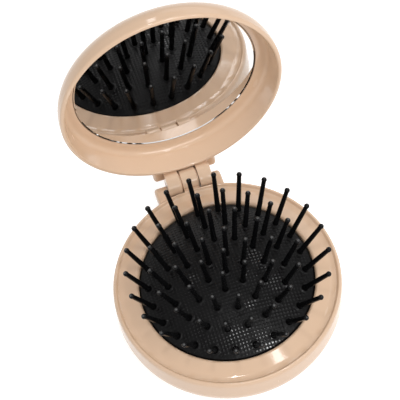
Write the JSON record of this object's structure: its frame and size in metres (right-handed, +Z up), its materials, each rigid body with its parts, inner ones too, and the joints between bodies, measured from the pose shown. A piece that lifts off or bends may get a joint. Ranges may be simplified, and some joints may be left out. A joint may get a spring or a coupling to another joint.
{
  "type": "folding pocket hairbrush with mirror",
  "caption": "Round folding pocket brush: ball-tipped pins on a pop-up rubber cushion in a shallow base, and a hinged lid with a round mirror inside.",
  "frame": {"origin": "on the table under the middle of the open brush's bounding box", "axes": "+Z up, +X to the right along the hinge, +Y back towards the hinge and the lid; the pins face up"},
  "size_m": [0.076, 0.104, 0.0927],
  "materials": {
    "beige_plastic": "moulded, satin gloss",
    "black_rubber": "matt with a fine raised-dot texture",
    "black_nylon": "smooth, slight sheen",
    "mirror_glass": "silvered",
    "steel": "drawn wire"
  },
  "bodies": {
    "base": {"base_shell": "beige_plastic", "cushion_seat": "beige_plastic", "cushion_bezel": "beige_plastic", "cushion": "black_rubber", "hinge_pin": "steel"},
    "lid": {"lid_shell": "beige_plastic", "mirror": "mirror_glass"},
    "plate": {"push_plate": "black_nylon"},
    "second_ring_pin_01": {"second_ring_pin_01": "black_nylon"},
    "second_ring_pin_02": {"second_ring_pin_02": "black_nylon"},
    "second_ring_pin_03": {"second_ring_pin_03": "black_nylon"},
    "second_ring_pin_04": {"second_ring_pin_04": "black_nylon"},
    "second_ring_pin_05": {"second_ring_pin_05": "black_nylon"},
    "second_ring_pin_06": {"second_ring_pin_06": "black_nylon"},
    "second_ring_pin_07": {"second_ring_pin_07": "black_nylon"},
    "second_ring_pin_08": {"second_ring_pin_08": "black_nylon"},
    "second_ring_pin_09": {"second_ring_pin_09": "black_nylon"},
    "second_ring_pin_10": {"second_ring_pin_10": "black_nylon"},
    "second_ring_pin_11": {"second_ring_pin_11": "black_nylon"},
    "second_ring_pin_12": {"second_ring_pin_12": "black_nylon"},
    "second_ring_pin_13": {"second_ring_pin_13": "black_nylon"},
    "second_ring_pin_14": {"second_ring_pin_14": "black_nylon"},
    "second_ring_pin_15": {"second_ring_pin_15": "black_nylon"},
    "second_ring_pin_16": {"second_ring_pin_16": "black_nylon"},
    "second_ring_pin_17": {"second_ring_pin_17": "black_nylon"},
    "second_ring_pin_18": {"second_ring_pin_18": "black_nylon"},
    "outer_ring_pin_01": {"outer_ring_pin_01": "black_nylon"},
    "outer_ring_pin_02": {"outer_ring_pin_02": "black_nylon"},
    "outer_ring_pin_03": {"outer_ring_pin_03": "black_nylon"},
    "outer_ring_pin_04": {"outer_ring_pin_04": "black_nylon"},
    "outer_ring_pin_05": {"outer_ring_pin_05": "black_nylon"},
    "outer_ring_pin_06": {"outer_ring_pin_06": "black_nylon"},
    "outer_ring_pin_07": {"outer_ring_pin_07": "black_nylon"},
    "outer_ring_pin_08": {"outer_ring_pin_08": "black_nylon"},
    "outer_ring_pin_09": {"outer_ring_pin_09": "black_nylon"},
    "outer_ring_pin_10": {"outer_ring_pin_10": "black_nylon"},
    "outer_ring_pin_11": {"outer_ring_pin_11": "black_nylon"},
    "outer_ring_pin_12": {"outer_ring_pin_12": "black_nylon"},
    "outer_ring_pin_13": {"outer_ring_pin_13": "black_nylon"},
    "outer_ring_pin_14": {"outer_ring_pin_14": "black_nylon"},
    "outer_ring_pin_15": {"outer_ring_pin_15": "black_nylon"},
    "outer_ring_pin_16": {"outer_ring_pin_16": "black_nylon"},
    "outer_ring_pin_17": {"outer_ring_pin_17": "black_nylon"},
    "outer_ring_pin_18": {"outer_ring_pin_18": "black_nylon"},
    "outer_ring_pin_19": {"outer_ring_pin_19": "black_nylon"},
    "outer_ring_pin_20": {"outer_ring_pin_20": "black_nylon"},
    "outer_ring_pin_21": {"outer_ring_pin_21": "black_nylon"},
    "outer_ring_pin_22": {"outer_ring_pin_22": "black_nylon"},
    "outer_ring_pin_23": {"outer_ring_pin_23": "black_nylon"},
    "outer_ring_pin_24": {"outer_ring_pin_24": "black_nylon"}
  },
  "joints": [
    {"name": "lid_hinge", "type": "hinge", "parent": "base", "child": "lid", "pos_m": [0, 0.02783, 0.0144], "axis": [1, 0, 0], "range_deg": [0, 99.5]},
    {"name": "plate_slide", "type": "slide", "parent": "base", "child": "plate", "axis": [0, 0, -1], "range_m": [0, 0.0153], "deforming": ["cushion"]},
    {"name": "second_ring_fold_01", "type": "hinge", "parent": "base", "child": "second_ring_pin_01", "pos_m": [0.05562, -0.00134, 0.01314], "axis": [0.2215, -0.9751, 0], "range_deg": [0, 19.75]},
    {"name": "second_ring_fold_02", "type": "hinge", "parent": "base", "child": "second_ring_pin_02", "pos_m": [0.04795, 0.01693, 0.01314], "axis": [0.5417, -0.8406, 0], "range_deg": [0, 19.75]},
    {"name": "second_ring_fold_03", "type": "hinge", "parent": "base", "child": "second_ring_pin_03", "pos_m": [0.03449, 0.03146, 0.01314], "axis": [0.7965, -0.6046, 0], "range_deg": [0, 19.75]},
    {"name": "second_ring_fold_04", "type": "hinge", "parent": "base", "child": "second_ring_pin_04", "pos_m": [0.01687, 0.04052, 0.01314], "axis": [0.9553, -0.2957, 0], "range_deg": [0, 19.75]},
    {"name": "second_ring_fold_05", "type": "hinge", "parent": "base", "child": "second_ring_pin_05", "pos_m": [-0.00279, 0.043, 0.01314], "axis": [0.9988, 0.0488, 0], "range_deg": [0, 19.75]},
    {"name": "second_ring_fold_06", "type": "hinge", "parent": "base", "child": "second_ring_pin_06", "pos_m": [-0.0221, 0.03861, 0.01314], "axis": [0.9219, 0.3875, 0], "range_deg": [0, 19.75]},
    {"name": "second_ring_fold_07", "type": "hinge", "parent": "base", "child": "second_ring_pin_07", "pos_m": [-0.03876, 0.02788, 0.01314], "axis": [0.7337, 0.6794, 0], "range_deg": [0, 19.75]},
    {"name": "second_ring_fold_08", "type": "hinge", "parent": "base", "child": "second_ring_pin_08", "pos_m": [-0.05073, 0.0121, 0.01314], "axis": [0.4571, 0.8894, 0], "range_deg": [0, 19.75]},
    {"name": "second_ring_fold_09", "type": "hinge", "parent": "base", "child": "second_ring_pin_09", "pos_m": [-0.05659, -0.00682, 0.01314], "axis": [0.1253, 0.9921, 0], "range_deg": [0, 19.75]},
    {"name": "second_ring_fold_10", "type": "hinge", "parent": "base", "child": "second_ring_pin_10", "pos_m": [-0.05562, -0.02661, 0.01314], "axis": [-0.2215, 0.9751, 0], "range_deg": [0, 19.75]},
    {"name": "second_ring_fold_11", "type": "hinge", "parent": "base", "child": "second_ring_pin_11", "pos_m": [-0.04795, -0.04487, 0.01314], "axis": [-0.5417, 0.8406, 0], "range_deg": [0, 19.75]},
    {"name": "second_ring_fold_12", "type": "hinge", "parent": "base", "child": "second_ring_pin_12", "pos_m": [-0.03449, -0.05941, 0.01314], "axis": [-0.7965, 0.6046, 0], "range_deg": [0, 19.75]},
    {"name": "second_ring_fold_13", "type": "hinge", "parent": "base", "child": "second_ring_pin_13", "pos_m": [-0.01687, -0.06846, 0.01314], "axis": [-0.9553, 0.2957, 0], "range_deg": [0, 19.75]},
    {"name": "second_ring_fold_14", "type": "hinge", "parent": "base", "child": "second_ring_pin_14", "pos_m": [0.00279, -0.07095, 0.01314], "axis": [-0.9988, -0.0488, 0], "range_deg": [0, 19.75]},
    {"name": "second_ring_fold_15", "type": "hinge", "parent": "base", "child": "second_ring_pin_15", "pos_m": [0.0221, -0.06656, 0.01314], "axis": [-0.9219, -0.3875, 0], "range_deg": [0, 19.75]},
    {"name": "second_ring_fold_16", "type": "hinge", "parent": "base", "child": "second_ring_pin_16", "pos_m": [0.03876, -0.05583, 0.01314], "axis": [-0.7337, -0.6794, 0], "range_deg": [0, 19.75]},
    {"name": "second_ring_fold_17", "type": "hinge", "parent": "base", "child": "second_ring_pin_17", "pos_m": [0.05073, -0.04005, 0.01314], "axis": [-0.4571, -0.8894, 0], "range_deg": [0, 19.75]},
    {"name": "second_ring_fold_18", "type": "hinge", "parent": "base", "child": "second_ring_pin_18", "pos_m": [0.05659, -0.02112, 0.01314], "axis": [-0.1253, -0.9921, 0], "range_deg": [0, 19.75]},
    {"name": "outer_ring_fold_01", "type": "hinge", "parent": "base", "child": "outer_ring_pin_01", "pos_m": [0.03924, -0.01185, 0.01236], "axis": [0.0541, -0.9985, 0], "range_deg": [0, 37.5]},
    {"name": "outer_ring_fold_02", "type": "hinge", "parent": "base", "child": "outer_ring_pin_02", "pos_m": [0.03804, -0.00154, 0.01236], "axis": [0.3107, -0.9505, 0], "range_deg": [0, 35.69]},
    {"name": "outer_ring_fold_03", "type": "hinge", "parent": "base", "child": "outer_ring_pin_03", "pos_m": [0.0343, 0.00839, 0.01236], "axis": [0.5461, -0.8377, 0], "range_deg": [0, 33.62]},
    {"name": "outer_ring_fold_04", "type": "hinge", "parent": "base", "child": "outer_ring_pin_04", "pos_m": [0.02793, 0.01716, 0.01236], "axis": [0.7443, -0.6678, 0], "range_deg": [0, 31.85]},
    {"name": "outer_ring_fold_05", "type": "hinge", "parent": "base", "child": "outer_ring_pin_05", "pos_m": [0.01917, 0.02381, 0.01236], "axis": [0.8918, -0.4524, 0], "range_deg": [0, 30.85]},
    {"name": "outer_ring_fold_06", "type": "hinge", "parent": "base", "child": "outer_ring_pin_06", "pos_m": [0.00875, 0.02755, 0.01236], "axis": [0.9785, -0.2062, 0], "range_deg": [0, 30.73]},
    {"name": "outer_ring_fold_07", "type": "hinge", "parent": "base", "child": "outer_ring_pin_07", "pos_m": [-0.00229, 0.0284, 0.01236], "axis": [0.9985, 0.0541, 0], "range_deg": [0, 30.73]},
    {"name": "outer_ring_fold_08", "type": "hinge", "parent": "base", "child": "outer_ring_pin_08", "pos_m": [-0.01318, 0.02636, 0.01236], "axis": [0.9505, 0.3107, 0], "range_deg": [0, 30.73]},
    {"name": "outer_ring_fold_09", "type": "hinge", "parent": "base", "child": "outer_ring_pin_09", "pos_m": [-0.02317, 0.02157, 0.01236], "axis": [0.8377, 0.5461, 0], "range_deg": [0, 30.73]},
    {"name": "outer_ring_fold_10", "type": "hinge", "parent": "base", "child": "outer_ring_pin_10", "pos_m": [-0.03158, 0.01436, 0.01236], "axis": [0.6678, 0.7443, 0], "range_deg": [0, 30.73]},
    {"name": "outer_ring_fold_11", "type": "hinge", "parent": "base", "child": "outer_ring_pin_11", "pos_m": [-0.03784, 0.00522, 0.01236], "axis": [0.4524, 0.8918, 0], "range_deg": [0, 30.73]},
    {"name": "outer_ring_fold_12", "type": "hinge", "parent": "base", "child": "outer_ring_pin_12", "pos_m": [-0.04152, -0.00522, 0.01236], "axis": [0.2062, 0.9785, 0], "range_deg": [0, 30.73]},
    {"name": "outer_ring_fold_13", "type": "hinge", "parent": "base", "child": "outer_ring_pin_13", "pos_m": [-0.04237, -0.01627, 0.01236], "axis": [-0.0541, 0.9985, 0], "range_deg": [0, 30.73]},
    {"name": "outer_ring_fold_14", "type": "hinge", "parent": "base", "child": "outer_ring_pin_14", "pos_m": [-0.04033, -0.02715, 0.01236], "axis": [-0.3107, 0.9505, 0], "range_deg": [0, 30.73]},
    {"name": "outer_ring_fold_15", "type": "hinge", "parent": "base", "child": "outer_ring_pin_15", "pos_m": [-0.03554, -0.03714, 0.01236], "axis": [-0.5461, 0.8377, 0], "range_deg": [0, 30.73]},
    {"name": "outer_ring_fold_16", "type": "hinge", "parent": "base", "child": "outer_ring_pin_16", "pos_m": [-0.02834, -0.04555, 0.01236], "axis": [-0.7443, 0.6678, 0], "range_deg": [0, 30.73]},
    {"name": "outer_ring_fold_17", "type": "hinge", "parent": "base", "child": "outer_ring_pin_17", "pos_m": [-0.0192, -0.05181, 0.01236], "axis": [-0.8918, 0.4524, 0], "range_deg": [0, 30.73]},
    {"name": "outer_ring_fold_18", "type": "hinge", "parent": "base", "child": "outer_ring_pin_18", "pos_m": [-0.00873, -0.0554, 0.01236], "axis": [-0.9785, 0.2062, 0], "range_deg": [0, 30.89]},
    {"name": "outer_ring_fold_19", "type": "hinge", "parent": "base", "child": "outer_ring_pin_19", "pos_m": [0.00226, -0.05567, 0.01236], "axis": [-0.9985, -0.0541, 0], "range_deg": [0, 31.96]},
    {"name": "outer_ring_fold_20", "type": "hinge", "parent": "base", "child": "outer_ring_pin_20", "pos_m": [0.0127, -0.05282, 0.01236], "axis": [-0.9505, -0.3107, 0], "range_deg": [0, 33.78]},
    {"name": "outer_ring_fold_21", "type": "hinge", "parent": "base", "child": "outer_ring_pin_21", "pos_m": [0.02182, -0.04744, 0.01236], "axis": [-0.8377, -0.5461, 0], "range_deg": [0, 35.85]},
    {"name": "outer_ring_fold_22", "type": "hinge", "parent": "base", "child": "outer_ring_pin_22", "pos_m": [0.02921, -0.04018, 0.01236], "axis": [-0.6678, -0.7443, 0], "range_deg": [0, 37.62]},
    {"name": "outer_ring_fold_23", "type": "hinge", "parent": "base", "child": "outer_ring_pin_23", "pos_m": [0.03467, -0.03156, 0.01236], "axis": [-0.4524, -0.8918, 0], "range_deg": [0, 38.62]},
    {"name": "outer_ring_fold_24", "type": "hinge", "parent": "base", "child": "outer_ring_pin_24", "pos_m": [0.03806, -0.02199, 0.01236], "axis": [-0.2062, -0.9785, 0], "range_deg": [0, 38.57]}
  ],
  "couplings": [
    {"joint": "plate_slide", "follows": "lid_hinge", "m_per_rad": 0.0087527},
    {"joint": "second_ring_fold_01", "follows": "lid_hinge", "ratio": 0.19745},
    {"joint": "second_ring_fold_02", "follows": "lid_hinge", "ratio": 0.19745},
    {"joint": "second_ring_fold_03", "follows": "lid_hinge", "ratio": 0.19745},
    {"joint": "second_ring_fold_04", "follows": "lid_hinge", "ratio": 0.19745},
    {"joint": "second_ring_fold_05", "follows": "lid_hinge", "ratio": 0.19745},
    {"joint": "second_ring_fold_06", "follows": "lid_hinge", "ratio": 0.19745},
    {"joint": "second_ring_fold_07", "follows": "lid_hinge", "ratio": 0.19745},
    {"joint": "second_ring_fold_08", "follows": "lid_hinge", "ratio": 0.19745},
    {"joint": "second_ring_fold_09", "follows": "lid_hinge", "ratio": 0.19745},
    {"joint": "second_ring_fold_10", "follows": "lid_hinge", "ratio": 0.19745},
    {"joint": "second_ring_fold_11", "follows": "lid_hinge", "ratio": 0.19745},
    {"joint": "second_ring_fold_12", "follows": "lid_hinge", "ratio": 0.19745},
    {"joint": "second_ring_fold_13", "follows": "lid_hinge", "ratio": 0.19745},
    {"joint": "second_ring_fold_14", "follows": "lid_hinge", "ratio": 0.19745},
    {"joint": "second_ring_fold_15", "follows": "lid_hinge", "ratio": 0.19745},
    {"joint": "second_ring_fold_16", "follows": "lid_hinge", "ratio": 0.19745},
    {"joint": "second_ring_fold_17", "follows": "lid_hinge", "ratio": 0.19745},
    {"joint": "second_ring_fold_18", "follows": "lid_hinge", "ratio": 0.19745},
    {"joint": "outer_ring_fold_01", "follows": "lid_hinge", "ratio": 0.3759},
    {"joint": "outer_ring_fold_02", "follows": "lid_hinge", "ratio": 0.35766},
    {"joint": "outer_ring_fold_03", "follows": "lid_hinge", "ratio": 0.33686},
    {"joint": "outer_ring_fold_04", "follows": "lid_hinge", "ratio": 0.31906},
    {"joint": "outer_ring_fold_05", "follows": "lid_hinge", "ratio": 0.30903},
    {"joint": "outer_ring_fold_06", "follows": "lid_hinge", "ratio": 0.30787},
    {"joint": "outer_ring_fold_07", "follows": "lid_hinge", "ratio": 0.30787},
    {"joint": "outer_ring_fold_08", "follows": "lid_hinge", "ratio": 0.30787},
    {"joint": "outer_ring_fold_09", "follows": "lid_hinge", "ratio": 0.30787},
    {"joint": "outer_ring_fold_10", "follows": "lid_hinge", "ratio": 0.30787},
    {"joint": "outer_ring_fold_11", "follows": "lid_hinge", "ratio": 0.30787},
    {"joint": "outer_ring_fold_12", "follows": "lid_hinge", "ratio": 0.30787},
    {"joint": "outer_ring_fold_13", "follows": "lid_hinge", "ratio": 0.30787},
    {"joint": "outer_ring_fold_14", "follows": "lid_hinge", "ratio": 0.30787},
    {"joint": "outer_ring_fold_15", "follows": "lid_hinge", "ratio": 0.30787},
    {"joint": "outer_ring_fold_16", "follows": "lid_hinge", "ratio": 0.30787},
    {"joint": "outer_ring_fold_17", "follows": "lid_hinge", "ratio": 0.30787},
    {"joint": "outer_ring_fold_18", "follows": "lid_hinge", "ratio": 0.30947},
    {"joint": "outer_ring_fold_19", "follows": "lid_hinge", "ratio": 0.32025},
    {"joint": "outer_ring_fold_20", "follows": "lid_hinge", "ratio": 0.33848},
    {"joint": "outer_ring_fold_21", "follows": "lid_hinge", "ratio": 0.35929},
    {"joint": "outer_ring_fold_22", "follows": "lid_hinge", "ratio": 0.37709},
    {"joint": "outer_ring_fold_23", "follows": "lid_hinge", "ratio": 0.38711},
    {"joint": "outer_ring_fold_24", "follows": "lid_hinge", "ratio": 0.38668}
  ]
}
